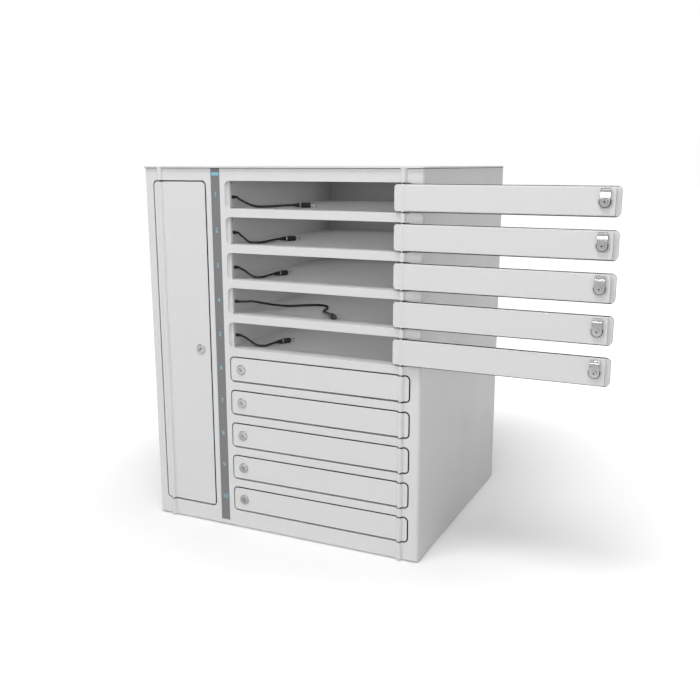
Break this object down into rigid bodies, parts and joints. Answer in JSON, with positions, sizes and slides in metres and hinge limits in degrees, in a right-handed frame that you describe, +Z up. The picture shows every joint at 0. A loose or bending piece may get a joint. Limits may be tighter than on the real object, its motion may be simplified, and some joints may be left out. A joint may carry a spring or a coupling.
{
  "type": "laptop charging locker",
  "caption": "Free-standing sheet-steel charging locker: stacked, separately locked laptop bays with swing doors and charging leads, beside a tall locked service bay.",
  "frame": {"origin": "centre of the plinth's underside, on the floor", "axes": "+X to the viewer's right when facing the doors, +Y from the doors towards the back, +Z up"},
  "size_m": [1.0105, 0.5834, 0.804],
  "materials": {
    "cabinet_paint": "light grey powder coat, fine satin texture",
    "lock_chrome": "polished chrome",
    "zinc_plate": "bright zinc plate",
    "strip_grey": "satin mid grey",
    "black_rubber": "matt",
    "black_plastic": "fine moulded texture",
    "socket_plastic": "satin",
    "lead_rubber": "satin cable sheath",
    "plug_plastic": "moulded grip with a nickel barrel"
  },
  "bodies": {
    "cabinet": {"side_panel_left": "cabinet_paint", "side_panel_right": "cabinet_paint", "centre_stile": "cabinet_paint", "front_rails": "cabinet_paint", "top_plate": "cabinet_paint", "base_frame": "cabinet_paint", "rear_panel": "cabinet_paint", "divider_wall": "cabinet_paint", "bay_back_wall": "cabinet_paint", "shelves": "cabinet_paint", "indicator_strip": "strip_grey", "hinge_rods": "zinc_plate", "cable_grommets": "black_rubber", "power_strip": "socket_plastic", "mains_inlet": "black_plastic", "power_adapters": "black_plastic", "panel_screws": "zinc_plate", "charging_lead_1": "lead_rubber", "charging_lead_2": "lead_rubber", "charging_lead_3": "lead_rubber", "charging_lead_4": "lead_rubber", "charging_lead_5": "lead_rubber", "lead_plug_1": "plug_plastic", "lead_plug_2": "plug_plastic", "lead_plug_3": "plug_plastic", "lead_plug_4": "plug_plastic", "lead_plug_5": "plug_plastic"},
    "door_1": {"door_panel_1": "cabinet_paint", "lock_barrel_1": "lock_chrome"},
    "cam_1": {"lock_cam_1": "zinc_plate"},
    "door_2": {"door_panel_2": "cabinet_paint", "lock_barrel_2": "lock_chrome"},
    "cam_2": {"lock_cam_2": "zinc_plate"},
    "door_3": {"door_panel_3": "cabinet_paint", "lock_barrel_3": "lock_chrome"},
    "cam_3": {"lock_cam_3": "zinc_plate"},
    "door_4": {"door_panel_4": "cabinet_paint", "lock_barrel_4": "lock_chrome"},
    "cam_4": {"lock_cam_4": "zinc_plate"},
    "door_5": {"door_panel_5": "cabinet_paint", "lock_barrel_5": "lock_chrome"},
    "cam_5": {"lock_cam_5": "zinc_plate"},
    "door_6": {"door_panel_6": "cabinet_paint", "lock_barrel_6": "lock_chrome"},
    "cam_6": {"lock_cam_6": "zinc_plate"},
    "door_7": {"door_panel_7": "cabinet_paint", "lock_barrel_7": "lock_chrome"},
    "cam_7": {"lock_cam_7": "zinc_plate"},
    "door_8": {"door_panel_8": "cabinet_paint", "lock_barrel_8": "lock_chrome"},
    "cam_8": {"lock_cam_8": "zinc_plate"},
    "door_9": {"door_panel_9": "cabinet_paint", "lock_barrel_9": "lock_chrome"},
    "cam_9": {"lock_cam_9": "zinc_plate"},
    "door_10": {"door_panel_10": "cabinet_paint", "lock_barrel_10": "lock_chrome"},
    "cam_10": {"lock_cam_10": "zinc_plate"},
    "service_door": {"service_door": "cabinet_paint", "service_lock_barrel": "lock_chrome"},
    "service_cam": {"service_lock_cam": "zinc_plate"}
  },
  "joints": [
    {"name": "door_hinge_1", "type": "hinge", "parent": "cabinet", "child": "door_1", "pos_m": [0.2836, -0.2794, 0.74569], "axis": [0, 0, 1], "range_deg": [-180, 0]},
    {"name": "lock_turn_1", "type": "hinge", "parent": "door_1", "child": "cam_1", "pos_m": [0.6582, -0.2794, 0.74569], "axis": [0, 1, 0], "range_deg": [0, 90]},
    {"name": "door_hinge_2", "type": "hinge", "parent": "cabinet", "child": "door_2", "pos_m": [0.2836, -0.2794, 0.67057], "axis": [0, 0, 1], "range_deg": [-180, 0]},
    {"name": "lock_turn_2", "type": "hinge", "parent": "door_2", "child": "cam_2", "pos_m": [0.6582, -0.2794, 0.67057], "axis": [0, 1, 0], "range_deg": [0, 90]},
    {"name": "door_hinge_3", "type": "hinge", "parent": "cabinet", "child": "door_3", "pos_m": [0.2836, -0.2794, 0.59545], "axis": [0, 0, 1], "range_deg": [-180, 0]},
    {"name": "lock_turn_3", "type": "hinge", "parent": "door_3", "child": "cam_3", "pos_m": [0.6582, -0.2794, 0.59545], "axis": [0, 1, 0], "range_deg": [0, 90]},
    {"name": "door_hinge_4", "type": "hinge", "parent": "cabinet", "child": "door_4", "pos_m": [0.2836, -0.2794, 0.52033], "axis": [0, 0, 1], "range_deg": [-180, 0]},
    {"name": "lock_turn_4", "type": "hinge", "parent": "door_4", "child": "cam_4", "pos_m": [0.6582, -0.2794, 0.52033], "axis": [0, 1, 0], "range_deg": [0, 90]},
    {"name": "door_hinge_5", "type": "hinge", "parent": "cabinet", "child": "door_5", "pos_m": [0.2836, -0.2794, 0.44521], "axis": [0, 0, 1], "range_deg": [-180, 0]},
    {"name": "lock_turn_5", "type": "hinge", "parent": "door_5", "child": "cam_5", "pos_m": [0.6582, -0.2794, 0.44521], "axis": [0, 1, 0], "range_deg": [0, 90]},
    {"name": "door_hinge_6", "type": "hinge", "parent": "cabinet", "child": "door_6", "pos_m": [0.2836, -0.2794, 0.37009], "axis": [0, 0, 1], "range_deg": [0, 180]},
    {"name": "lock_turn_6", "type": "hinge", "parent": "door_6", "child": "cam_6", "pos_m": [-0.091, -0.2794, 0.37009], "axis": [0, -1, 0], "range_deg": [0, 90]},
    {"name": "door_hinge_7", "type": "hinge", "parent": "cabinet", "child": "door_7", "pos_m": [0.2836, -0.2794, 0.29497], "axis": [0, 0, 1], "range_deg": [0, 180]},
    {"name": "lock_turn_7", "type": "hinge", "parent": "door_7", "child": "cam_7", "pos_m": [-0.091, -0.2794, 0.29497], "axis": [0, -1, 0], "range_deg": [0, 90]},
    {"name": "door_hinge_8", "type": "hinge", "parent": "cabinet", "child": "door_8", "pos_m": [0.2836, -0.2794, 0.21985], "axis": [0, 0, 1], "range_deg": [0, 180]},
    {"name": "lock_turn_8", "type": "hinge", "parent": "door_8", "child": "cam_8", "pos_m": [-0.091, -0.2794, 0.21985], "axis": [0, -1, 0], "range_deg": [0, 90]},
    {"name": "door_hinge_9", "type": "hinge", "parent": "cabinet", "child": "door_9", "pos_m": [0.2836, -0.2794, 0.14473], "axis": [0, 0, 1], "range_deg": [0, 180]},
    {"name": "lock_turn_9", "type": "hinge", "parent": "door_9", "child": "cam_9", "pos_m": [-0.091, -0.2794, 0.14473], "axis": [0, -1, 0], "range_deg": [0, 90]},
    {"name": "door_hinge_10", "type": "hinge", "parent": "cabinet", "child": "door_10", "pos_m": [0.2836, -0.2794, 0.06961], "axis": [0, 0, 1], "range_deg": [0, 180]},
    {"name": "lock_turn_10", "type": "hinge", "parent": "door_10", "child": "cam_10", "pos_m": [-0.091, -0.2794, 0.06961], "axis": [0, -1, 0], "range_deg": [0, 90]},
    {"name": "service_door_hinge", "type": "hinge", "parent": "cabinet", "child": "service_door", "pos_m": [-0.2836, -0.2794, 0.40765], "axis": [0, 0, 1], "range_deg": [-180, 0]},
    {"name": "service_lock_turn", "type": "hinge", "parent": "service_door", "child": "service_cam", "pos_m": [-0.194, -0.2794, 0.40765], "axis": [0, 1, 0], "range_deg": [0, 90]}
  ]
}
